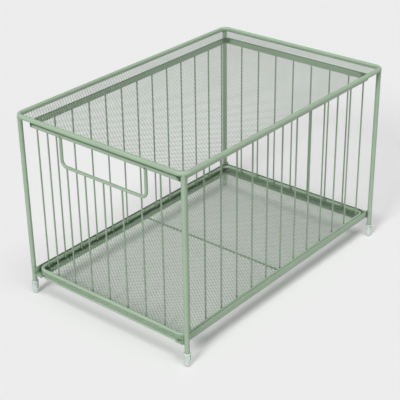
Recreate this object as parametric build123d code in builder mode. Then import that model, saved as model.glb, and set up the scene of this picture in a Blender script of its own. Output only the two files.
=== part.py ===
"""Stackable storage drawer: a wire drawer with a mesh tray that slides in an open steel frame.

X runs across the front, -Y points out of the front, Z is up. The origin is on the floor,
under the middle of the frame.
"""

import os
from math import sqrt

from build123d import *

os.makedirs("parts", exist_ok=True)

# Frame rods
post_span_x = 252.0  # between post centres, across the front
post_span_y = 386.0  # between post centres, front to back
rod_radius = 3.0  # posts and top rim
rim_sides = 20  # faces round the top rim
rim_height = 245.0  # floor to the middle of the top rim
rim_bend = 10.0  # corner radius of the top rim, on its centre line
cope = 2.0  # how far the posts' ends reach up round the rim

# Feet of clear plastic, pushed over the lower ends of the posts
foot_height = 18.3
foot_seat = 9.5  # floor to the end of the post
foot_fit = 0.05  # radial gap between post and foot
foot_wall = 0.9
foot_sides = 16  # the feet have few faces round them
foot_rib = 0.4  # how far the ribs stand out
foot_rib_count = 2
foot_tip_radius = 2.7
foot_neck_radius = 3.3
foot_shoulder = 1.2  # height of the slope between neck and collar

# Runners of folded sheet: an upright web with a flange that carries the drawer
sheet = 1.2
flange_height = 28.2  # floor to the underside of the flanges
web_height = 10.2
flange_width = 12.7
tie_lip = 4.0  # the front tie's folded lip, from the top of the flanges down
tie_setback = 4.5  # from the runners' front ends back to the tie
floor_wire_radius = 1.2  # wire across the frame, under the drawer's floor
floor_wire_y = 4.0  # from the middle of the frame towards the back

# Drawer
drawer_gap = 0.3  # between the bottom ring and the webs
run_gap = 0.3  # between the tray's floor and the flanges
front_inset = 6.7  # from the front post centres back to the front wires
wire_radius = 1.0
wire_lap = 1.5  # how far the wires reach down past the middle of the ring
wire_sides = 8  # the many thin wires have few faces
front_wire_count = 7
front_wire_margin = 28.4  # from the drawer's corner to the first wire, across the front
side_wire_count = 13
side_wire_margin = 9.8  # the same, along the sides
rod_sides = 12  # faces round the drawer's bent rods
ring_radius = 2.25  # bottom ring of the drawer
ring_bend = 10.0
strip_height = 8.0  # flat bar round the top of the drawer
strip_thickness = 2.4
strip_corner = 2.5
strip_top = 238.0

# Handle, a bent rod under the front bar
handle_radius = 2.0
handle_span = 132.0  # between the middles of its legs
handle_drop = 36.0  # from the bar down to the middle of the grip
handle_bend = 8.0

# Mesh sheets, with fewer and larger gaps than the real expanded metal
mesh_thickness = 1.0
mesh_border = 5.0
strand = 2.2  # width of a strand of mesh, measured across the gap's corner
mesh_columns = 7
mesh_rows = 11
tray_wall_height = 3.0  # from the tray's floor up to the bottom ring
wall_gap_length = 11.0
wall_gap_height = 1.8

# Places that follow from the sizes above
post_x = post_span_x / 2
post_y = post_span_y / 2
rim_offset = rim_bend * (1 - 1 / sqrt(2))
rim_half_x = post_x + rim_offset
rim_half_y = post_y + rim_offset
flange_top = flange_height + sheet
web_top = flange_height + web_height
web_outer_x = post_x - rod_radius
web_inner_x = web_outer_x - sheet
stop_outer_y = post_y - rod_radius
stop_inner_y = stop_outer_y - sheet
runner_end = post_y + rod_radius
flange_inner_x = web_outer_x - flange_width
ring_offset = ring_radius + wire_radius
drawer_x = web_inner_x - drawer_gap - ring_radius - ring_offset
drawer_front = -post_y + front_inset
drawer_back = stop_inner_y - drawer_gap - ring_radius - ring_offset
drawer_middle = (drawer_front + drawer_back) / 2
drawer_half_y = (drawer_back - drawer_front) / 2
front_wire_pitch = 2 * (drawer_x - front_wire_margin) / (front_wire_count - 1)
side_wire_pitch = 2 * (drawer_half_y - side_wire_margin) / (side_wire_count - 1)
floor_bottom = flange_top + run_gap
floor_top = floor_bottom + mesh_thickness
ring_x = drawer_x + ring_offset
ring_half_y = drawer_half_y + ring_offset
ring_bottom = floor_top + tray_wall_height
ring_height = ring_bottom + ring_radius
wire_bottom = ring_height - wire_lap
strip_bottom = strip_top - strip_height
grip_height = strip_bottom - handle_drop
tray_half_x = ring_x + mesh_thickness / 2
tray_half_y = ring_half_y + mesh_thickness / 2
tray_corner = ring_bend + mesh_thickness / 2


def save(piece, name):
    """Labels a finished piece and writes its STEP file."""
    piece.part.label = name
    export_step(piece.part, f"parts/{name}.step")


def rounded_path(half_x, half_y, middle_y, height, bend):
    """Closed rectangle with rounded corners, level at the given height."""
    with BuildLine() as path:
        FilletPolyline(
            (-half_x, middle_y - half_y, height),
            (half_x, middle_y - half_y, height),
            (half_x, middle_y + half_y, height),
            (-half_x, middle_y + half_y, height),
            radius=bend,
            close=True,
        )
    return path.wires()[0]


def net(half_x, half_y, corner, border, columns, rows):
    """A flat sheet with staggered diamond gaps inside a plain border, in the current sketch."""
    pitch_x = 2 * (half_x - border) / columns
    pitch_y = 2 * (half_y - border) / rows
    gap_x = pitch_x / 2 - strand
    gap_y = pitch_y / 2 - strand * pitch_y / pitch_x
    corners = ((gap_x, 0), (0, gap_y), (-gap_x, 0), (0, -gap_y))
    RectangleRounded(2 * half_x, 2 * half_y, corner)
    with GridLocations(pitch_x, pitch_y, columns, rows):
        Polygon(*corners, mode=Mode.SUBTRACT)
    with GridLocations(pitch_x, pitch_y, columns - 1, rows - 1):
        Polygon(*corners, mode=Mode.SUBTRACT)


# Top rim: one rod bent into a ring and welded on the posts
with BuildPart() as top_rim:
    rim_path = rounded_path(rim_half_x, rim_half_y, 0, rim_height, rim_bend)
    with BuildSketch(Plane(origin=rim_path @ 0, z_dir=rim_path % 0)):
        RegularPolygon(rod_radius, rim_sides)
    sweep(path=rim_path)
save(top_rim, "top_rim")

# Top mesh, welded to the inner side of the rim
with BuildPart() as top_mesh:
    with BuildSketch(Plane.XY.offset(rim_height - mesh_thickness / 2)):
        net(
            rim_half_x - rod_radius,
            rim_half_y - rod_radius,
            rim_bend - rod_radius,
            mesh_border,
            mesh_columns,
            mesh_rows,
        )
    extrude(amount=mesh_thickness)
save(top_mesh, "top_mesh")

# Outline of a foot from the floor up: tapered tip, shoulder and ribbed collar
collar_radius = rod_radius + foot_fit + foot_wall
rib_pitch = (foot_height - foot_seat) / foot_rib_count
foot_outline = [
    (0, foot_tip_radius),
    (foot_seat - foot_shoulder, foot_neck_radius),
    (foot_seat, collar_radius),
]
for rib in range(foot_rib_count):
    foot_outline += [
        (foot_seat + (rib + 0.5) * rib_pitch, collar_radius + foot_rib),
        (foot_seat + (rib + 1) * rib_pitch, collar_radius),
    ]

# Posts, coped to the underside of the rim, and the feet on their lower ends
for end, y in (("front", -post_y), ("back", post_y)):
    for side, x in (("left", -post_x), ("right", post_x)):
        with BuildPart() as post:
            with BuildSketch(Plane.XY.offset(foot_seat)):
                with Locations((x, y)):
                    Circle(rod_radius)
            extrude(amount=rim_height - rod_radius + cope - foot_seat)
            add(top_rim.part, mode=Mode.SUBTRACT)
        save(post, f"post_{end}_{side}")

        with BuildPart() as foot:
            for height, radius in foot_outline:
                with BuildSketch(Plane.XY.offset(height)):
                    with Locations((x, y)):
                        RegularPolygon(radius, foot_sides)
            loft(ruled=True)
            with BuildSketch(Plane.XY.offset(foot_seat)):
                with Locations((x, y)):
                    RegularPolygon(rod_radius + foot_fit, foot_sides, major_radius=False)
            extrude(amount=foot_height - foot_seat, mode=Mode.SUBTRACT)
        save(foot, f"foot_{end}_{side}")

# Side runners, each an upright web against the posts with a flange under the drawer
with BuildPart() as runner_right:
    with BuildSketch(Plane.XZ.offset(runner_end)):
        with Locations((web_outer_x, flange_height)):
            Rectangle(sheet, web_height, align=(Align.MAX, Align.MIN))
    extrude(amount=-2 * runner_end)
    with BuildSketch(Plane.XZ.offset(runner_end)):
        with Locations((web_outer_x, flange_height)):
            Rectangle(flange_width, sheet, align=(Align.MAX, Align.MIN))
    extrude(amount=-(runner_end + stop_inner_y))
save(runner_right, "runner_right")

with BuildPart() as runner_left:
    mirror(runner_right.part, about=Plane.YZ)
save(runner_left, "runner_left")

# Back stop: the same folded section across the back, between the side runners
with BuildPart() as back_stop:
    with BuildSketch(Plane.XY.offset(flange_height)):
        with Locations((0, stop_outer_y)):
            Rectangle(2 * web_inner_x, sheet, align=(Align.CENTER, Align.MAX))
    extrude(amount=web_height)
    with BuildSketch(Plane.XY.offset(flange_height)):
        with Locations((0, stop_outer_y)):
            Rectangle(2 * flange_inner_x, flange_width, align=(Align.CENTER, Align.MAX))
    extrude(amount=sheet)
save(back_stop, "back_stop")

# Front tie: a flange level with the runners' ones and a lip folded down, so the drawer slides over it
with BuildPart() as front_tie:
    with BuildSketch(Plane.YZ.offset(-flange_inner_x)):
        with Locations((tie_setback - runner_end, flange_top)):
            Rectangle(flange_width, sheet, align=(Align.MIN, Align.MAX))
            Rectangle(sheet, tie_lip, align=(Align.MIN, Align.MAX))
    extrude(amount=2 * flange_inner_x)
save(front_tie, "front_tie")

# Wire across the frame between the flanges, which stiffens it under the drawer's floor
with BuildPart() as floor_wire:
    with BuildSketch(Plane.YZ.offset(-flange_inner_x)):
        with Locations((floor_wire_y, flange_top - floor_wire_radius)):
            RegularPolygon(floor_wire_radius, rod_sides)
    extrude(amount=2 * flange_inner_x)
save(floor_wire, "floor_support_wire")

# Drawer's bottom ring, outside the wires
with BuildPart() as bottom_ring:
    ring_path = rounded_path(ring_x, ring_half_y, drawer_middle, ring_height, ring_bend)
    with BuildSketch(Plane(origin=ring_path @ 0, z_dir=ring_path % 0)):
        RegularPolygon(ring_radius, rod_sides)
    sweep(path=ring_path)
save(bottom_ring, "drawer_bottom_ring")

# Drawer's top bar, a flat strip on edge, bent round all four sides
with BuildPart() as top_bar:
    with BuildSketch(Plane.XY.offset(strip_bottom)):
        with Locations((0, drawer_middle)):
            RectangleRounded(
                2 * drawer_x + strip_thickness,
                2 * drawer_half_y + strip_thickness,
                strip_corner,
            )
            Rectangle(
                2 * drawer_x - strip_thickness,
                2 * drawer_half_y - strip_thickness,
                mode=Mode.SUBTRACT,
            )
    extrude(amount=strip_height)
save(top_bar, "drawer_top_bar")

# Handle under the front of the top bar
with BuildPart() as handle:
    with BuildLine() as handle_line:
        FilletPolyline(
            (-handle_span / 2, drawer_front, strip_bottom),
            (-handle_span / 2, drawer_front, grip_height),
            (handle_span / 2, drawer_front, grip_height),
            (handle_span / 2, drawer_front, strip_bottom),
            radius=handle_bend,
        )
    with BuildSketch(Plane(origin=handle_line.line @ 0, z_dir=handle_line.line % 0)):
        RegularPolygon(handle_radius, rod_sides)
    sweep(path=handle_line.wires()[0])
save(handle, "handle")

# Upright wires: a row on each side, from the inner side of the bottom ring to the top bar
for side, x in (("left", -drawer_x), ("right", drawer_x)):
    with BuildPart() as side_wires:
        with BuildSketch(Plane.XY.offset(wire_bottom)):
            with Locations((x, drawer_middle)):
                with GridLocations(side_wire_pitch, side_wire_pitch, 1, side_wire_count):
                    RegularPolygon(wire_radius, wire_sides)
        extrude(amount=strip_bottom - wire_bottom)
    save(side_wires, f"{side}_wires")

with BuildPart() as back_wires:
    with BuildSketch(Plane.XY.offset(wire_bottom)):
        with Locations((0, drawer_back)):
            with GridLocations(front_wire_pitch, front_wire_pitch, front_wire_count, 1):
                RegularPolygon(wire_radius, wire_sides)
    extrude(amount=strip_bottom - wire_bottom)
save(back_wires, "back_wires")

# The front wires between the handle's legs stop under its grip
with BuildPart() as front_wires:
    for number in range(front_wire_count):
        x = (number - (front_wire_count - 1) / 2) * front_wire_pitch
        under_grip = abs(x) < handle_span / 2
        top = grip_height - handle_radius if under_grip else strip_bottom
        with BuildSketch(Plane.XY.offset(wire_bottom)):
            with Locations((x, drawer_front)):
                RegularPolygon(wire_radius, wire_sides)
        extrude(amount=top - wire_bottom)
save(front_wires, "front_wires")

# Mesh floor of the tray, which slides on the flanges
with BuildPart() as tray_floor:
    with BuildSketch(Plane.XY.offset(floor_bottom)):
        with Locations((0, drawer_middle)):
            net(tray_half_x, tray_half_y, tray_corner, mesh_border, mesh_columns, mesh_rows)
    extrude(amount=mesh_thickness)
save(tray_floor, "tray_floor")

# Mesh walls of the tray, from its floor up to the ring
with BuildPart() as tray_wall:
    with BuildSketch(Plane.XY.offset(floor_top)):
        with Locations((0, drawer_middle)):
            RectangleRounded(2 * tray_half_x, 2 * tray_half_y, tray_corner)
            RectangleRounded(
                2 * (tray_half_x - mesh_thickness),
                2 * (tray_half_y - mesh_thickness),
                tray_corner - mesh_thickness,
                mode=Mode.SUBTRACT,
            )
    extrude(amount=tray_wall_height)
    gap_height = floor_top + tray_wall_height / 2
    gap_corners = (
        (wall_gap_length / 2, 0),
        (0, wall_gap_height / 2),
        (-wall_gap_length / 2, 0),
        (0, -wall_gap_height / 2),
    )
    with BuildSketch(Plane.XZ.offset(-drawer_middle)):
        with Locations((0, gap_height)):
            with GridLocations(2 * (tray_half_x - tray_corner) / mesh_columns, 1, mesh_columns, 1):
                Polygon(*gap_corners)
    extrude(amount=tray_half_y, both=True, mode=Mode.SUBTRACT)
    with BuildSketch(Plane.YZ):
        with Locations((drawer_middle, gap_height)):
            with GridLocations(2 * (tray_half_y - tray_corner) / mesh_rows, 1, mesh_rows, 1):
                Polygon(*gap_corners)
    extrude(amount=tray_half_x, both=True, mode=Mode.SUBTRACT)
save(tray_wall, "tray_wall")
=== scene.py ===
"""Looks of the stackable storage drawer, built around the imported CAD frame.

Every place comes from the frame's nodes. Lengths are metres, and MM turns millimetres into them.
"""

import math

import bpy
import numpy as np
from mathutils import Matrix, Vector


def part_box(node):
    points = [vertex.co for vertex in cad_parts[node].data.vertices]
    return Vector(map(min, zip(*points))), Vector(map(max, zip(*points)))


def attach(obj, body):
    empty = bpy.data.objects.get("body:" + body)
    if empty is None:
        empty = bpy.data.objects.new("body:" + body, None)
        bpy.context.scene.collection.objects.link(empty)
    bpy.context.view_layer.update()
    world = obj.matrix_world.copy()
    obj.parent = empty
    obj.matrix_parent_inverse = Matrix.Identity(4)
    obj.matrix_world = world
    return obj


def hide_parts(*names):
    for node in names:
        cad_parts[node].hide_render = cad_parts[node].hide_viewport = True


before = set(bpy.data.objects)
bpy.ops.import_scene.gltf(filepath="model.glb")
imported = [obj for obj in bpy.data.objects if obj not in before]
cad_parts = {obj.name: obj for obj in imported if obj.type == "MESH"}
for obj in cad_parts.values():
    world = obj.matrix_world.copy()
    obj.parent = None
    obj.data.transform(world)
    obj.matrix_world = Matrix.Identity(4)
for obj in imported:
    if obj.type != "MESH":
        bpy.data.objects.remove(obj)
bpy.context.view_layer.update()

MM = 0.001

# Roundness of the rods
ROD_SIDES = 32
WIRE_SIDES = 16
BEND_STEPS = 12

# Expanded metal: long and short pitch of its diamonds, and how open they are
MESH_LONG = 6.1 * MM
MESH_SHORT = 4.2 * MM
MESH_OPENING = (0.84, 0.82)  # open share of each diamond along its two pitches, in the level sheets
WALL_OPENING = (0.10, 0.08)  # the same in the tray's wall, which is nearly closed
STRAND_THICK = 0.40 * MM
STRAND_TILT = 0.48 * MM
MESH_EDGE = 1.0 * MM  # plain edge round a mesh sheet
MESH_EDGE_THICK = 0.8 * MM
# Share of the tilt that each sheet's strands have. Above nought the lit faces turn to the back.
TOP_LEAN = 1.0
FLOOR_LEAN = -0.4
WALL_LEAN = -0.5
TRAY_INSET = 0.9 * MM  # from the ring's outermost line in to the tray's edge
WALL_FOOT = 0.1 * MM  # from the floor's underside up to the tray's wall
WALL_REACH = 0.6  # the wall ends this share of the ring's radius below its middle

# Runners of folded sheet
SHEET = 0.9 * MM
FOLD_RADIUS = 2.0 * MM
SHEET_EDGE = 0.25 * MM
FOLD_STEPS = 6
EDGE_STEPS = 2

# Top bar of the drawer
STRIP_THICK = 2.4 * MM
STRIP_BEND = 1.6 * MM
STRIP_EDGE = 0.5 * MM
STRIP_EDGE_STEPS = 3

HANDLE_BEND = 8.0 * MM
RING_BEND = 10.0 * MM
RIM_BEND = 10.0 * MM
FRONT_WIRES = 7
SIDE_WIRES = 13
HANDLE_LAP = 0.4 * MM  # how far the handle's legs reach up into the bar
WIRE_LAP = 0.3 * MM  # how far the wires reach up into the bar or the grip

# Feet: a rounded tip, a neck and a ribbed collar
FOOT_SIDES = 40
FOOT_RIBS = 4
FOOT_GAP = 0.05 * MM  # between foot and post
FOOT_LIP = 0.5 * MM
RIB_LOW = 0.8 * MM  # how far below the collar's radius a groove lies
RIB_HIGH = 0.05 * MM  # the same for a rib's crest
FOOT_TIP = ((0.0, 0.0), (2.2 * MM, 0.0), (2.8 * MM, 0.35 * MM), (3.05 * MM, 1.0 * MM))  # radius, height
FOOT_NECK = ((3.45 * MM, 0.45), (3.75 * MM, 0.85))  # radius, and height as a share of the seat's
RIB_OUTLINE = ((RIB_LOW, 0.06), (RIB_HIGH, 0.30), (RIB_HIGH, 0.60), (RIB_LOW, 0.86))

# Weld beads: half sizes, and where they sit
BEAD_RINGS = 6
BEAD_SIDES = 12
POST_BEAD_SPREAD = 1.12
POST_BEAD_HEIGHT = 1.5 * MM
POST_BEAD_RISE = 0.2 * MM
RUNNER_BEAD = (0.8 * MM, 0.8 * MM, 1.7 * MM)
RUNNER_BEAD_LEVELS = (0.18, 0.5, 0.82)
RUNNER_BEAD_OUT = 0.7 * MM
RUNNER_BEAD_ALONG = 1.9 * MM
STOP_BEAD = (0.7 * MM, 0.7 * MM, 1.2 * MM)
STOP_BEAD_LEVELS = (0.3, 0.6, 0.9)
STOP_BEAD_IN = 0.3 * MM
TIE_BEAD = (1.2 * MM, 1.3 * MM, 0.7 * MM)
TIE_BEAD_PLACES = (2 * MM, 9 * MM)  # from the tie's back edge forwards
TIE_BEAD_DROP = 0.6 * MM
GRIP_BEAD_SPREAD = (1.2, 1.05)
GRIP_BEAD_HEIGHT = 1.0 * MM
RING_BEAD_SPREAD = 1.1
RING_BEAD_HEIGHT = 1.3 * MM
BAR_BEAD_SPREAD = (1.35, 1.1)
BAR_BEAD_HEIGHT = 0.7 * MM

# Angle in degrees above which two faces meet in a sharp edge
EDGE_ANGLE = 40.0
FOOT_EDGE_ANGLE = 50.0
NO_EDGE_ANGLE = 180.0

# Camera of the photograph: angles in degrees, distance and target in metres
CAMERA_AZIMUTH = 40.0
CAMERA_ELEVATION = 27.62
CAMERA_ROLL = -0.82
CAMERA_DISTANCE = 1.43314
CAMERA_TARGET = Vector((-0.01383, 0.0, 0.08937))
CAMERA_LENS = 99.49
SENSOR = 36.0

# Light
BACKGROUND = (0.84, 0.84, 0.84, 1)
WORLD_LEVEL = 0.21
FLOOR_GLOW = 0.64  # how much light the floor throws back onto the object
FLOOR_LIFT = 0.20  # share of the floor's look that stays even, in shadow too
# Lamps: azimuth from the front to the right, elevation and apparent size in degrees, and strength
LAMPS = {
    "front_light": (10, 33, 16, 2.25),
    "overhead_light": (60, 75, 24, 1.22),
    "side_light": (95, 12, 40, 0.40),
}

FLOOR_TONES = ((0.835, 0.835, 0.835, 1), (0.845, 0.845, 0.845, 1))
FLOOR_MOTTLE = 5.0  # noise scale
FLOOR_ROUGHNESS = 0.9
FLOOR_SPECULAR = 0.1
FLOOR_REACH = 30.0  # metres from the middle to the edge

# Colours of the coats
SAGE = (0.315, 0.420, 0.303)
# Painted shade: the wires and the mesh take darker copies of the sage, for the shade on thin wires and steep
# strands
WIRE_PAINTED_SHADE = 0.78
MESH_PAINTED_SHADE = 0.95

# Powder coat: noise scales, and how far each trait lightens or darkens the colour
NOISE_MIDDLE = (0.3, 0.7)  # the part of a noise's range that is used
DRIFT_SCALE = 18.0
DRIFT_TINTS = (0.955, 1.045)
SPECK_SCALE = 2600.0
SPECK_RANGE = (0.62, 0.72)
SPECK_AMOUNT = 0.22
SPECK_TINT = 1.22
SCUFF_SCALE = 210.0
SCUFF_STRETCH = (1.0, 0.35, 2.4)
SCUFF_RANGE = (0.66, 0.74)
SCUFF_AMOUNT = 0.30
SCUFF_TINT = 1.16
GLOSS_SCALE = 95.0
GLOSS_SPREAD = (-0.06, 0.08)
PEEL_SCALE = 780.0
PEEL_DEPTH = 0.25 * MM
COAT_SPECULAR = 0.42
# Painted shade: recesses, and places under or between parts, are darkened towards this colour
PAINTED_SHADE_TONE = (0.020, 0.060, 0.020, 1)

# Plastic of the feet
PLASTIC_TONES = ((0.74, 0.85, 0.79, 1), (0.84, 0.92, 0.88, 1))
PLASTIC_ROUGHNESS = (0.14, 0.24)
PLASTIC_CLOUD_SCALE = 260.0
PLASTIC_GLOSS_SCALE = 700.0
PLASTIC_RIPPLE_SCALE = 520.0
PLASTIC_RIPPLE_DEPTH = 0.2 * MM
PLASTIC_RIPPLE = 0.1
PLASTIC_INDEX = 1.46
PLASTIC_CLEARNESS = 0.50


def box(node):
    """Lowest and highest corner of a CAD node, as arrays."""
    low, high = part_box(node)
    return np.array(low), np.array(high)


# Materials


def new_material(name):
    """An empty node material and its tree."""
    material = bpy.data.materials.new(name)
    material.use_nodes = True
    tree = material.node_tree
    tree.nodes.clear()
    return material, tree


def add_node(tree, kind, inputs=None, **settings):
    """A node with its settings and input values. An input may be a value or another node's socket."""
    node = tree.nodes.new(kind)
    for key, value in settings.items():
        setattr(node, key, value)
    for key, value in (inputs or {}).items():
        if isinstance(value, bpy.types.NodeSocket):
            tree.links.new(value, node.inputs[key])
        else:
            node.inputs[key].default_value = value
    return node


def noise(tree, coords, scale, detail=3.0, rough=0.5):
    """Noise value, from 0 to 1."""
    inputs = {"Vector": coords, "Scale": scale, "Detail": detail, "Roughness": rough}
    return add_node(tree, "ShaderNodeTexNoise", inputs).outputs["Fac"]


def remap(tree, value, low, high, to_low, to_high):
    """Maps a value from one range to another, clamped."""
    inputs = {
        "Value": value,
        "From Min": low,
        "From Max": high,
        "To Min": to_low,
        "To Max": to_high,
    }
    return add_node(tree, "ShaderNodeMapRange", inputs).outputs["Result"]


def mix_colour(tree, amount, first, second):
    """Mixes two colours by an amount from 0 to 1."""
    node = add_node(tree, "ShaderNodeMix", data_type="RGBA")
    for key, value in ((0, amount), (6, first), (7, second)):
        if isinstance(value, bpy.types.NodeSocket):
            tree.links.new(value, node.inputs[key])
        else:
            node.inputs[key].default_value = value
    return node.outputs[2]


def tint(colour, factor):
    """A colour made lighter or darker."""
    return tuple(min(1.0, part * factor) for part in colour) + (1.0,)


def finish_shader(tree, shader):
    """Joins a shader to the material's output."""
    output = add_node(tree, "ShaderNodeOutputMaterial")
    tree.links.new(shader.outputs[0], output.inputs["Surface"])


def powder_coat(name, colour, peel, gloss, painted_shade_keep, reach, occlusion_range=(0.45, 0.95), rays=8):
    """Satin powder coat: drifting tone, specks, faint scuffs, painted shade in recesses and an orange-peel
    surface.

    Painted shade: where ambient occlusion within reach lies low in the occlusion range, the colour turns
    towards the dark shade tone.
    """
    material, tree = new_material(name)
    coords = add_node(tree, "ShaderNodeTexCoord").outputs["Object"]
    drift = noise(tree, coords, DRIFT_SCALE, detail=2.0)
    drift = remap(tree, drift, *NOISE_MIDDLE, 0.0, 1.0)
    dark, light = (tint(colour, factor) for factor in DRIFT_TINTS)
    base = mix_colour(tree, drift, dark, light)
    specks = remap(tree, noise(tree, coords, SPECK_SCALE, detail=1.0), *SPECK_RANGE, 0.0, SPECK_AMOUNT)
    base = mix_colour(tree, specks, base, tint(colour, SPECK_TINT))
    stretched = add_node(tree, "ShaderNodeMapping", {"Vector": coords, "Scale": SCUFF_STRETCH})
    marks = noise(tree, stretched.outputs["Vector"], SCUFF_SCALE, detail=5.0, rough=0.62)
    scuffs = remap(tree, marks, *SCUFF_RANGE, 0.0, SCUFF_AMOUNT)
    base = mix_colour(tree, scuffs, base, tint(colour, SCUFF_TINT))
    # Painted shade: ambient occlusion within reach darkens the coat in recesses and under nearby parts
    occlusion = add_node(tree, "ShaderNodeAmbientOcclusion", {"Distance": reach}, samples=rays)
    unshaded_share = remap(tree, occlusion.outputs["AO"], *occlusion_range, painted_shade_keep, 1.0)
    base = mix_colour(tree, unshaded_share, PAINTED_SHADE_TONE, base)
    glossier, duller = (gloss + spread for spread in GLOSS_SPREAD)
    roughness = remap(tree, noise(tree, coords, GLOSS_SCALE, detail=4.0), *NOISE_MIDDLE, glossier, duller)
    peel_height = noise(tree, coords, PEEL_SCALE, detail=2.0, rough=0.45)
    bump = add_node(
        tree,
        "ShaderNodeBump",
        {"Strength": peel, "Distance": PEEL_DEPTH, "Height": peel_height},
    )
    shader = add_node(
        tree,
        "ShaderNodeBsdfPrincipled",
        {
            "Base Color": base,
            "Roughness": roughness,
            "Normal": bump.outputs["Normal"],
            "Specular IOR Level": COAT_SPECULAR,
        },
    )
    finish_shader(tree, shader)
    return material


def clear_plastic(name):
    """Soft clear plastic of the feet, slightly green, with a faint moulded ripple."""
    material, tree = new_material(name)
    coords = add_node(tree, "ShaderNodeTexCoord").outputs["Object"]
    cloud = remap(tree, noise(tree, coords, PLASTIC_CLOUD_SCALE), *NOISE_MIDDLE, 0.0, 1.0)
    base = mix_colour(tree, cloud, *PLASTIC_TONES)
    patches = noise(tree, coords, PLASTIC_GLOSS_SCALE, detail=2.0)
    roughness = remap(tree, patches, *NOISE_MIDDLE, *PLASTIC_ROUGHNESS)
    ripple = noise(tree, coords, PLASTIC_RIPPLE_SCALE, detail=2.0)
    bump = add_node(
        tree,
        "ShaderNodeBump",
        {"Strength": PLASTIC_RIPPLE, "Distance": PLASTIC_RIPPLE_DEPTH, "Height": ripple},
    )
    shader = add_node(
        tree,
        "ShaderNodeBsdfPrincipled",
        {
            "Base Color": base,
            "Roughness": roughness,
            "Normal": bump.outputs["Normal"],
            "IOR": PLASTIC_INDEX,
            "Transmission Weight": PLASTIC_CLEARNESS,
        },
    )
    finish_shader(tree, shader)
    return material


# Darker copies of the sage: painted shade for the wires and the mesh
WIRE_SAGE_PAINTED_SHADE = tint(SAGE, WIRE_PAINTED_SHADE)[:3]
MESH_SAGE_PAINTED_SHADE = tint(SAGE, MESH_PAINTED_SHADE)[:3]
# Each coat below paints shade into its recesses and under nearby parts
FRAME_COAT = powder_coat("frame_powder_coat", SAGE, peel=0.22, gloss=0.44, painted_shade_keep=0.20, reach=5.0 * MM)
DRAWER_COAT = powder_coat("drawer_powder_coat", SAGE, peel=0.20, gloss=0.42, painted_shade_keep=0.10, reach=3.0 * MM)
# Painted shadow: the top bar's long reach and narrow range paint the rim's shadow as a dark line under the
# rim
BAR_COAT = powder_coat(
    "bar_powder_coat",
    SAGE,
    peel=0.20,
    gloss=0.42,
    painted_shade_keep=0.02,
    reach=14.0 * MM,
    occlusion_range=(0.85, 0.92),
    rays=64,
)
WIRE_COAT = powder_coat("wire_powder_coat", WIRE_SAGE_PAINTED_SHADE, peel=0.15, gloss=0.44, painted_shade_keep=0.40, reach=2.2 * MM)
MESH_COAT = powder_coat("mesh_powder_coat", MESH_SAGE_PAINTED_SHADE, peel=0.12, gloss=0.50, painted_shade_keep=0.95, reach=2.2 * MM)
FOOT_PLASTIC = clear_plastic("clear_foot_plastic")


# Mesh building


class Shape:
    """Vertices and faces that one piece collects."""

    def __init__(self):
        self.points = []
        self.faces = []

    def add(self, points, faces):
        """Adds points and the faces that index them."""
        start = len(self.points)
        self.points.extend(tuple(point) for point in points)
        self.faces.extend(tuple(start + index for index in face) for face in faces)


def piece(name, shape, material, body, slot, *nodes, sharp=EDGE_ANGLE):
    """Makes a piece of the object from a shape, with its material and body, and hides the CAD nodes it
    stands for. The slot is not used.
    """
    mesh = bpy.data.meshes.new(name)
    mesh.from_pydata(shape.points, [], shape.faces)
    mesh.validate()
    mesh.update()
    mesh.shade_smooth()
    mesh.set_sharp_from_angle(angle=math.radians(sharp))
    mesh.materials.append(material)
    made = bpy.data.objects.new(name, mesh)
    bpy.context.collection.objects.link(made)
    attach(made, body)
    if nodes:
        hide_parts(*nodes)
    return made


def circle(radius, sides):
    """Points of a round section."""
    angles = [2 * math.pi * step / sides for step in range(sides)]
    return [(radius * math.cos(angle), radius * math.sin(angle)) for angle in angles]


def arc(centre, radius, start, end, steps):
    """Points along an arc in a plane, angles in degrees."""
    angles = [math.radians(start + (end - start) * step / steps) for step in range(steps + 1)]
    return [(centre[0] + radius * math.cos(a), centre[1] + radius * math.sin(a)) for a in angles]


def rounded_rectangle(half_x, half_y, bend, steps):
    """Points of a rectangle with rounded corners, going round to the left."""
    points = []
    corners = ((1, 1, 0), (-1, 1, 90), (-1, -1, 180), (1, -1, 270))
    for side_x, side_y, start in corners:
        centre = (side_x * (half_x - bend), side_y * (half_y - bend))
        points += arc(centre, bend, start, start + 90, steps)
    return points


def sweep(shape, path, section, up, closed=False):
    """Carries a section along a flat path. Its first axis points sideways and its second along up."""
    path = [Vector(point) for point in path]
    up = Vector(up)
    count = len(path)
    around = len(section)
    points = []
    for index, point in enumerate(path):
        if closed:
            before = path[index - 1]
            after = path[(index + 1) % count]
        else:
            before = path[max(index - 1, 0)]
            after = path[min(index + 1, count - 1)]
        tangent = (after - before).normalized()
        side = tangent.cross(up).normalized()
        points += [point + side * across + up * along for across, along in section]
    faces = []
    for index in range(count if closed else count - 1):
        here = index * around
        there = ((index + 1) % count) * around
        for step in range(around):
            following = (step + 1) % around
            faces.append((here + step, here + following, there + following, there + step))
    if not closed:
        faces.append(tuple(reversed(range(around))))
        faces.append(tuple(range((count - 1) * around, count * around)))
    shape.add(points, faces)


def rod(shape, start, end, radius, sides):
    """A straight round rod."""
    direction = (Vector(end) - Vector(start)).normalized()
    up = Vector((1, 0, 0)) if abs(direction.x) < 0.5 else Vector((0, 0, 1))
    sweep(shape, (start, end), circle(radius, sides), up)


def revolve(shape, centre_x, centre_y, outline, sides):
    """Turns a closed outline of (radius, height) points round an upright axis."""
    count = len(outline)
    points = []
    for across, around in circle(1.0, sides):
        points += [(centre_x + r * across, centre_y + r * around, z) for r, z in outline]
    faces = []
    for step in range(sides):
        here = step * count
        there = ((step + 1) % sides) * count
        for index in range(count - 1):
            faces.append((here + index, there + index, there + index + 1, here + index + 1))
    shape.add(points, faces)


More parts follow.
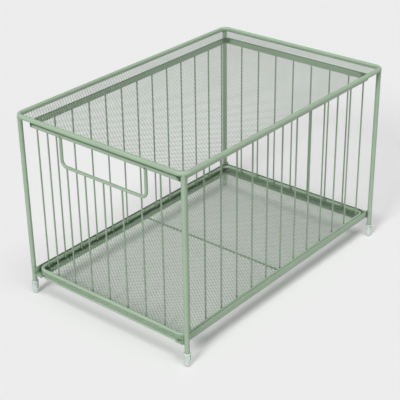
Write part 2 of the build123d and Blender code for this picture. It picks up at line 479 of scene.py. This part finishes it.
def bead(shape, centre, size, seed):
    """A small weld bead: a squashed ball with a ripple, no two alike."""
    points = [(0, 0, -1)]
    for ring in range(1, BEAD_RINGS):
        tilt = math.pi * ring / BEAD_RINGS - math.pi / 2
        for across, around in circle(math.cos(tilt), BEAD_SIDES):
            turn = math.atan2(around, across)
            ripple = 1 + 0.10 * math.sin(3 * turn + seed * 1.7) + 0.07 * math.sin(5 * tilt + seed)
            points.append((across * ripple, around * ripple, math.sin(tilt) * ripple))
    points.append((0, 0, 1))
    last = len(points) - 1
    faces = []
    for step in range(BEAD_SIDES):
        following = (step + 1) % BEAD_SIDES
        faces.append((0, 1 + following, 1 + step))
        top = 1 + (BEAD_RINGS - 2) * BEAD_SIDES
        faces.append((top + step, top + following, last))
        for ring in range(BEAD_RINGS - 2):
            low = 1 + ring * BEAD_SIDES
            high = low + BEAD_SIDES
            faces.append((low + step, low + following, high + following, high + step))
    placed = [[c + p * s for c, p, s in zip(centre, point, size)] for point in points]
    shape.add(placed, faces)


def diamonds(long_half, short_half, keep, opening, lean):
    """Expanded metal as flat points (u, v, rise) and faces: u runs along the diamonds' long pitch."""
    open_long, open_short = opening
    columns = round(long_half / MESH_LONG) * 2
    rows = max(1, round(short_half / MESH_SHORT)) * 2
    step_u = long_half * 2 / (columns * 2)
    step_v = short_half * 2 / (rows * 2)
    points = []
    faces = []
    places = {}

    def knot(i, j):
        """Index of the top point of a crossing. Its bottom point comes next."""
        if (i, j) not in places:
            places[i, j] = len(points)
            points.append((i * step_u, j * step_v, STRAND_THICK / 2))
            points.append((i * step_u, j * step_v, -STRAND_THICK / 2))
        return places[i, j]

    around = ((1, 0), (0, 1), (-1, 0), (0, -1))
    for i in range(-columns + 1, columns):
        for j in range(-rows + 1, rows):
            if (i + j) % 2 == 0 or not keep(i * step_u, j * step_v):
                continue
            knots = [knot(i + across, j + along) for across, along in around]
            first = len(points)
            for across, along in around:
                u = (i + across * open_long) * step_u
                v = (j + along * open_short) * step_v
                points.append((u, v, lean * along * STRAND_TILT))
            for side in range(4):
                following = (side + 1) % 4
                a = first + side
                b = first + following
                faces.append((knots[side], knots[following], b, a))
                faces.append((knots[following] + 1, knots[side] + 1, a, b))
    return points, faces


def flat_sheet(shape, centre, half_x, half_y, bend, lean):
    """A level sheet of expanded metal with a plain edge and rounded corners."""
    inner_x = half_x - MESH_EDGE / 2
    inner_y = half_y - MESH_EDGE / 2

    def keep(u, v):
        over_x = max(0.0, abs(u) - (half_x - bend))
        over_y = max(0.0, abs(v) - (half_y - bend))
        return math.hypot(over_x, over_y) < bend - MESH_EDGE

    points, faces = diamonds(inner_x, inner_y, keep, MESH_OPENING, lean)
    shape.add([(centre[0] + u, centre[1] + v, centre[2] + rise) for u, v, rise in points], faces)
    middle = MESH_EDGE / 2
    line = rounded_rectangle(half_x - middle, half_y - middle, bend - middle, BEND_STEPS)
    edge = rounded_rectangle(middle, MESH_EDGE_THICK / 2, MESH_EDGE_THICK / 4, EDGE_STEPS)
    path = [(centre[0] + x, centre[1] + y, centre[2]) for x, y in line]
    sweep(shape, path, edge, (0, 0, 1), closed=True)


def wall_sheet(shape, centre, half_x, half_y, bend, low, high):
    """Upright expanded metal round a rounded rectangle, with a plain edge above and below."""
    straight_x = 2 * (half_x - bend)
    straight_y = 2 * (half_y - bend)
    corner = bend * math.pi / 2
    lap = 2 * (straight_x + straight_y) + 4 * corner
    legs = (
        (straight_y, (half_x, -half_y + bend), (0, 1)),
        (straight_x, (half_x - bend, half_y), (-1, 0)),
        (straight_y, (-half_x, half_y - bend), (0, -1)),
        (straight_x, (-half_x + bend, -half_y), (1, 0)),
    )

    def place(distance, rise):
        """The point at a distance along the wall, moved outwards by rise."""
        distance %= lap
        for length, start, (run_x, run_y) in legs:
            out_x, out_y = run_y, -run_x
            if distance <= length:
                x = start[0] + run_x * distance + out_x * rise
                return x, start[1] + run_y * distance + out_y * rise
            distance -= length
            if distance <= corner:
                turn = distance / bend
                middle_x = start[0] + run_x * length - out_x * bend
                middle_y = start[1] + run_y * length - out_y * bend
                reach = bend + rise
                across = out_x * math.cos(turn) + run_x * math.sin(turn)
                along = out_y * math.cos(turn) + run_y * math.sin(turn)
                return middle_x + across * reach, middle_y + along * reach
            distance -= corner
        return place(0.0, rise)

    height = (high - low) / 2
    points, faces = diamonds(lap / 2, height, lambda u, v: True, WALL_OPENING, WALL_LEAN)
    placed = []
    for u, v, rise in points:
        x, y = place(u + lap / 2, rise)
        placed.append((centre[0] + x, centre[1] + y, (low + high) / 2 + v))
    shape.add(placed, faces)
    band = rounded_rectangle(STRAND_THICK / 2, MESH_EDGE / 4, STRAND_THICK / 5, EDGE_STEPS)
    line = rounded_rectangle(half_x, half_y, bend, BEND_STEPS)
    for level in (low + MESH_EDGE / 4, high - MESH_EDGE / 4):
        path = [(centre[0] + x, centre[1] + y, level) for x, y in line]
        sweep(shape, path, band, (0, 0, 1), closed=True)


# Frame: rim, posts and feet

rim_low, rim_high = box("top_rim")
rim_radius = (rim_high[2] - rim_low[2]) / 2
rim_z = rim_high[2] - rim_radius
rim_half_x = rim_high[0] - rim_radius
rim_half_y = rim_high[1] - rim_radius

rim = Shape()
rim_line = rounded_rectangle(rim_half_x, rim_half_y, RIM_BEND, BEND_STEPS)
sweep(rim, [(x, y, rim_z) for x, y in rim_line], circle(rim_radius, ROD_SIDES), (0, 0, 1), closed=True)
piece("rim_rod", rim, FRAME_COAT, "frame", "frame_coat", "top_rim")

top_low, top_high = box("top_mesh")
top_sheet = Shape()
top_middle = (top_low + top_high) / 2
flat_sheet(top_sheet, top_middle, top_high[0], top_high[1], RIM_BEND - rim_radius, TOP_LEAN)
piece("top_mesh_sheet", top_sheet, MESH_COAT, "frame", "mesh_coat", "top_mesh", sharp=NO_EDGE_ANGLE)

frame_welds = Shape()
post_places = {}
for end in ("front", "back"):
    for side in ("left", "right"):
        low, high = box(f"post_{end}_{side}")
        middle = (low + high) / 2
        radius = (high[0] - low[0]) / 2
        post_places[end, side] = middle
        post = Shape()
        rod(post, (middle[0], middle[1], low[2]), (middle[0], middle[1], rim_z), radius, ROD_SIDES)
        name = f"post_rod_{end}_{side}"
        piece(name, post, FRAME_COAT, "frame", "frame_coat", f"post_{end}_{side}")
        joint = (middle[0], middle[1], rim_z - rim_radius + POST_BEAD_RISE)
        spread_out = radius * POST_BEAD_SPREAD
        seed = middle[0] * 90 + middle[1] * 50
        bead(frame_welds, joint, (spread_out, spread_out, POST_BEAD_HEIGHT), seed)

        foot_low, foot_high = box(f"foot_{end}_{side}")
        seat = low[2]
        collar = (foot_high[0] - foot_low[0]) / 2
        bore = radius + FOOT_GAP
        rib_pitch = (foot_high[2] - seat) / FOOT_RIBS
        outline = list(FOOT_TIP)
        outline += [(across, seat * share) for across, share in FOOT_NECK]
        for rib in range(FOOT_RIBS):
            base = seat + rib * rib_pitch
            outline += [(collar - depth, base + share * rib_pitch) for depth, share in RIB_OUTLINE]
        outline += [(collar - FOOT_LIP, foot_high[2]), (bore, foot_high[2])]
        outline += [(bore, seat), (0.0, seat)]
        foot = Shape()
        revolve(foot, middle[0], middle[1], outline, FOOT_SIDES)
        name = f"foot_cap_{end}_{side}"
        piece(name, foot, FOOT_PLASTIC, "frame", "foot_plastic", f"foot_{end}_{side}", sharp=FOOT_EDGE_ANGLE)

# Frame: runners and back stop, folded from sheet


def folded_section(width, height):
    """An angle section with a round fold and softened edges: outer corner at the origin, web upwards."""
    inner = FOLD_RADIUS - SHEET
    points = arc((-FOLD_RADIUS, FOLD_RADIUS), FOLD_RADIUS, -90, 0, FOLD_STEPS)
    points += arc((-SHEET_EDGE, height - SHEET_EDGE), SHEET_EDGE, 0, 90, EDGE_STEPS)
    points += arc((-SHEET + SHEET_EDGE, height - SHEET_EDGE), SHEET_EDGE, 90, 180, EDGE_STEPS)
    points += arc((-FOLD_RADIUS, FOLD_RADIUS), inner, 0, -90, FOLD_STEPS)
    points += arc((-width + SHEET_EDGE, SHEET - SHEET_EDGE), SHEET_EDGE, 90, 180, EDGE_STEPS)
    points += arc((-width + SHEET_EDGE, SHEET_EDGE), SHEET_EDGE, 180, 270, EDGE_STEPS)
    return points


stop_low, stop_high = box("back_stop")
for side, sign in (("left", -1), ("right", 1)):
    low, high = box(f"runner_{side}")
    width = high[0] - low[0]
    height = high[2] - low[2]
    outer = high[0] if sign > 0 else low[0]
    section = folded_section(width, height)
    if sign < 0:
        section = [(-x, z) for x, z in reversed(section)]
    runner = Shape()
    flange_end = stop_high[1] - SHEET
    path = ((outer, low[1], low[2]), (outer, flange_end, low[2]))
    sweep(runner, path, section, (0, 0, 1))
    web = rounded_rectangle(SHEET / 2, height / 2, SHEET_EDGE, EDGE_STEPS)
    web_x = outer - sign * SHEET / 2
    web_z = (low[2] + high[2]) / 2
    sweep(runner, ((web_x, flange_end, web_z), (web_x, high[1], web_z)), web, (0, 0, 1))
    piece(f"folded_runner_{side}", runner, FRAME_COAT, "frame", "frame_coat", f"runner_{side}")
    for end, turn in (("front", -1), ("back", 1)):
        post = post_places[end, side]
        for along in (-1, 1):
            for step, level in enumerate(RUNNER_BEAD_LEVELS):
                bead_x = outer + sign * RUNNER_BEAD_OUT
                bead_y = post[1] + along * RUNNER_BEAD_ALONG
                spot = (bead_x, bead_y, low[2] + level * height)
                bead(frame_welds, spot, RUNNER_BEAD, step + along + turn * 3)

stop = Shape()
section = folded_section(stop_high[1] - stop_low[1], stop_high[2] - stop_low[2])
section = [(-x, z) for x, z in reversed(section)]
path = ((stop_low[0], stop_high[1], stop_low[2]), (stop_high[0], stop_high[1], stop_low[2]))
sweep(stop, path, section, (0, 0, 1))
piece("folded_back_stop", stop, FRAME_COAT, "frame", "frame_coat", "back_stop")
for sign in (-1, 1):
    for step, level in enumerate(STOP_BEAD_LEVELS):
        height = stop_low[2] + level * (stop_high[2] - stop_low[2])
        bead_x = sign * (stop_high[0] - STOP_BEAD_IN)
        bead_y = stop_high[1] - SHEET - STOP_BEAD_IN
        bead(frame_welds, (bead_x, bead_y, height), STOP_BEAD, step * 2 + sign)

tie_low, tie_high = box("front_tie")
section = folded_section(tie_high[1] - tie_low[1], tie_high[2] - tie_low[2])
section = [(-x, -z) for x, z in section]
tie = Shape()
path = ((tie_high[0], tie_low[1], tie_high[2]), (tie_low[0], tie_low[1], tie_high[2]))
sweep(tie, path, section, (0, 0, 1))
piece("folded_front_tie", tie, FRAME_COAT, "frame", "frame_coat", "front_tie")

wire_low, wire_high = box("floor_support_wire")
wire_middle = (wire_low + wire_high) / 2
wire_radius = (wire_high[2] - wire_low[2]) / 2
support = Shape()
start = (wire_low[0], wire_middle[1], wire_middle[2])
end = (wire_high[0], wire_middle[1], wire_middle[2])
rod(support, start, end, wire_radius, WIRE_SIDES)
piece("support_wire_rod", support, WIRE_COAT, "frame", "frame_coat", "floor_support_wire")
bead_places = [wire_middle[1]] + [tie_high[1] - back for back in TIE_BEAD_PLACES]
for sign in (-1, 1):
    for number, y in enumerate(bead_places):
        spot = (sign * wire_high[0], y, tie_high[2] - TIE_BEAD_DROP)
        bead(frame_welds, spot, TIE_BEAD, number + sign)
piece("frame_weld_beads", frame_welds, FRAME_COAT, "frame", "frame_coat", sharp=NO_EDGE_ANGLE)

# Drawer: ring, top bar and handle

drawer_welds = Shape()
ring_low, ring_high = box("drawer_bottom_ring")
ring_radius = (ring_high[2] - ring_low[2]) / 2
ring_z = ring_high[2] - ring_radius
ring_x = ring_high[0] - ring_radius
ring_half_y = (ring_high[1] - ring_low[1]) / 2 - ring_radius
drawer_y = (ring_high[1] + ring_low[1]) / 2

ring = Shape()
ring_line = rounded_rectangle(ring_x, ring_half_y, RING_BEND, BEND_STEPS)
ring_path = [(x, drawer_y + y, ring_z) for x, y in ring_line]
sweep(ring, ring_path, circle(ring_radius, ROD_SIDES), (0, 0, 1), closed=True)
piece("bottom_ring_rod", ring, DRAWER_COAT, "drawer", "drawer_coat", "drawer_bottom_ring")

bar_low, bar_high = box("drawer_top_bar")
bar = Shape()
bar_half_x = bar_high[0] - STRIP_THICK / 2
bar_half_y = (bar_high[1] - bar_low[1] - STRIP_THICK) / 2
bar_line = rounded_rectangle(bar_half_x, bar_half_y, STRIP_BEND, BEND_STEPS)
bar_half_z = (bar_high[2] - bar_low[2]) / 2
bar_section = rounded_rectangle(STRIP_THICK / 2, bar_half_z, STRIP_EDGE, STRIP_EDGE_STEPS)
bar_path = [(x, drawer_y + y, (bar_low[2] + bar_high[2]) / 2) for x, y in bar_line]
sweep(bar, bar_path, bar_section, (0, 0, 1), closed=True)
piece("top_bar_strip", bar, BAR_COAT, "drawer", "drawer_coat", "drawer_top_bar")

grip_low, grip_high = box("handle")
grip_radius = (grip_high[1] - grip_low[1]) / 2
grip_y = (grip_high[1] + grip_low[1]) / 2
grip_z = grip_low[2] + grip_radius
grip_half = grip_high[0] - grip_radius
grip = Shape()
turn_z = grip_z + HANDLE_BEND
turn_x = grip_half - HANDLE_BEND
grip_line = [(-grip_half, bar_low[2] + HANDLE_LAP)]
grip_line += arc((-turn_x, turn_z), HANDLE_BEND, 180, 270, BEND_STEPS)
grip_line += arc((turn_x, turn_z), HANDLE_BEND, 270, 360, BEND_STEPS)
grip_line += [(grip_half, bar_low[2] + HANDLE_LAP)]
grip_path = [(x, grip_y, z) for x, z in grip_line]
sweep(grip, grip_path, circle(grip_radius, ROD_SIDES), (0, 1, 0))
piece("handle_rod", grip, DRAWER_COAT, "drawer", "drawer_coat", "handle")
for sign in (-1, 1):
    spot = (sign * grip_half, grip_y, bar_low[2])
    wide, deep = (grip_radius * share for share in GRIP_BEAD_SPREAD)
    bead(drawer_welds, spot, (wide, deep, GRIP_BEAD_HEIGHT), sign * 2)

# Drawer: upright wires


def spread(low, high, count):
    """Evenly spaced places from low to high."""
    return [low + (high - low) * step / (count - 1) for step in range(count)]


def wires(name, node, places, radius, outward):
    """A row of upright wires from the ring to the bar, or to the handle's grip, with their welds."""
    row = Shape()
    foot_z = box(node)[0][2]
    for number, (x, y) in enumerate(places):
        under_grip = node == "front_wires" and abs(x) < grip_half
        top = grip_z - grip_radius if under_grip else bar_low[2]
        rod(row, (x, y, foot_z), (x, y, top + WIRE_LAP), radius, WIRE_SIDES)
        spot = (x + outward[0] * radius, y + outward[1] * radius, ring_z)
        across = radius * RING_BEAD_SPREAD
        bead(drawer_welds, spot, (across, across, RING_BEAD_HEIGHT), number)
        wide, deep = (radius * share for share in BAR_BEAD_SPREAD)
        bead(drawer_welds, (x, y, top), (wide, deep, BAR_BEAD_HEIGHT), number * 3)
    piece(name, row, WIRE_COAT, "drawer", "drawer_coat", node)


for side, outward in (("left", (-1, 0)), ("right", (1, 0))):
    low, high = box(f"{side}_wires")
    radius = (high[0] - low[0]) / 2
    x = (low[0] + high[0]) / 2
    lines = [(x, y) for y in spread(low[1] + radius, high[1] - radius, SIDE_WIRES)]
    wires(f"{side}_wire_row", f"{side}_wires", lines, radius, outward)
for end, outward in (("front", (0, -1)), ("back", (0, 1))):
    low, high = box(f"{end}_wires")
    radius = (high[1] - low[1]) / 2
    y = (low[1] + high[1]) / 2
    lines = [(x, y) for x in spread(low[0] + radius, high[0] - radius, FRONT_WIRES)]
    wires(f"{end}_wire_row", f"{end}_wires", lines, radius, outward)

# Drawer: mesh tray

floor_low, floor_high = box("tray_floor")
tray_out = ring_radius - TRAY_INSET  # the mesh reaches this far past the middle of the ring
tray_x = ring_x + tray_out
tray_y = ring_half_y + tray_out
tray_bend = RING_BEND + tray_x - ring_x
tray_middle = (0.0, drawer_y, (floor_low[2] + floor_high[2]) / 2)
tray_floor = Shape()
flat_sheet(tray_floor, tray_middle, tray_x, tray_y, tray_bend, FLOOR_LEAN)
piece("tray_floor_sheet", tray_floor, MESH_COAT, "drawer", "mesh_coat", "tray_floor", sharp=NO_EDGE_ANGLE)

tray_wall = Shape()
wall_sheet(
    tray_wall,
    (0.0, drawer_y, 0.0),
    tray_x + STRAND_THICK,
    tray_y + STRAND_THICK,
    tray_bend + STRAND_THICK,
    floor_low[2] + WALL_FOOT,
    ring_z - WALL_REACH * ring_radius,
)
piece("tray_wall_sheet", tray_wall, MESH_COAT, "drawer", "mesh_coat", "tray_wall", sharp=NO_EDGE_ANGLE)

piece("drawer_weld_beads", drawer_welds, DRAWER_COAT, "drawer", "drawer_coat", sharp=NO_EDGE_ANGLE)

# Floor, light and camera


def direct_view(tree):
    """One where the camera sees the surface, also through plastic or in a gloss, and else nought."""
    path = add_node(tree, "ShaderNodeLightPath")
    seen = path.outputs["Is Camera Ray"]
    for other in ("Is Glossy Ray", "Is Transmission Ray"):
        inputs = {0: seen, 1: path.outputs[other]}
        seen = add_node(tree, "ShaderNodeMath", inputs, operation="MAXIMUM").outputs[0]
    return seen


def pale_floor():
    """A wide, plain, pale floor with a faint mottle. Part of its look is even, which lightens shadows."""
    material, tree = new_material("pale_floor")
    coords = add_node(tree, "ShaderNodeTexCoord").outputs["Object"]
    mottle = noise(tree, coords, FLOOR_MOTTLE, detail=2.0)
    base = mix_colour(tree, mottle, *FLOOR_TONES)
    seen = direct_view(tree)
    base = mix_colour(tree, seen, (FLOOR_GLOW, FLOOR_GLOW, FLOOR_GLOW, 1), base)
    shader = add_node(
        tree,
        "ShaderNodeBsdfPrincipled",
        {"Base Color": base, "Roughness": FLOOR_ROUGHNESS, "Specular IOR Level": FLOOR_SPECULAR},
    )
    share = add_node(tree, "ShaderNodeMath", {0: seen, 1: FLOOR_LIFT}, operation="MULTIPLY")
    even = add_node(tree, "ShaderNodeEmission", {"Color": BACKGROUND, "Strength": 1.0})
    mixed = add_node(tree, "ShaderNodeMixShader", {0: share.outputs[0]})
    tree.links.new(shader.outputs[0], mixed.inputs[1])
    tree.links.new(even.outputs[0], mixed.inputs[2])
    finish_shader(tree, mixed)
    mesh = bpy.data.meshes.new("pale_floor")
    turns = ((-1, -1), (1, -1), (1, 1), (-1, 1))
    corners = [(x * FLOOR_REACH, y * FLOOR_REACH, 0) for x, y in turns]
    mesh.from_pydata(corners, [], [(0, 1, 2, 3)])
    mesh.materials.append(material)
    made = bpy.data.objects.new("pale_floor", mesh)
    bpy.context.collection.objects.link(made)


def studio_world():
    """Even light from all round, and the pale background for what looks straight at it."""
    world = bpy.data.worlds.new("studio")
    bpy.context.scene.world = world
    world.use_nodes = True
    tree = world.node_tree
    tree.nodes.clear()
    seen = direct_view(tree)
    light = add_node(tree, "ShaderNodeBackground", {"Color": (1, 1, 1, 1), "Strength": WORLD_LEVEL})
    shown = add_node(tree, "ShaderNodeBackground", {"Color": BACKGROUND, "Strength": 1.0})
    mixed = add_node(tree, "ShaderNodeMixShader", {0: seen})
    tree.links.new(light.outputs[0], mixed.inputs[1])
    tree.links.new(shown.outputs[0], mixed.inputs[2])
    output = add_node(tree, "ShaderNodeOutputWorld")
    tree.links.new(mixed.outputs[0], output.inputs["Surface"])


def soft_lamps():
    """Soft lights from the front, from overhead and from the side."""
    for name, (azimuth, elevation, size, strength) in LAMPS.items():
        turn = math.radians(azimuth)
        rise = math.radians(elevation)
        data = bpy.data.lights.new(name, "SUN")
        data.energy = strength
        data.angle = math.radians(size)
        made = bpy.data.objects.new(name, data)
        level = math.cos(rise)
        source = Vector((math.sin(turn) * level, -math.cos(turn) * level, math.sin(rise)))
        made.rotation_euler = source.to_track_quat("Z", "Y").to_euler()
        bpy.context.collection.objects.link(made)


def photo_camera():
    """The photograph's viewing angle."""
    azimuth = math.radians(CAMERA_AZIMUTH)
    elevation = math.radians(CAMERA_ELEVATION)
    roll = math.radians(CAMERA_ROLL)
    forward = Vector(
        (
            -math.sin(azimuth) * math.cos(elevation),
            math.cos(azimuth) * math.cos(elevation),
            -math.sin(elevation),
        )
    )
    level = Vector((math.cos(azimuth), math.sin(azimuth), 0))
    upright = level.cross(forward)
    right = level * math.cos(roll) + upright * math.sin(roll)
    up = upright * math.cos(roll) - level * math.sin(roll)
    data = bpy.data.cameras.new("photo_camera")
    data.lens = CAMERA_LENS
    data.sensor_width = SENSOR
    data.clip_start = 0.05
    data.clip_end = 100.0
    made = bpy.data.objects.new("photo_camera", data)
    turn = Matrix((right, up, -forward)).transposed().to_4x4()
    made.matrix_world = Matrix.Translation(CAMERA_TARGET - forward * CAMERA_DISTANCE) @ turn
    bpy.context.collection.objects.link(made)
    bpy.context.scene.camera = made


pale_floor()
studio_world()
soft_lamps()
photo_camera()
bpy.context.scene.view_settings.view_transform = "Standard"
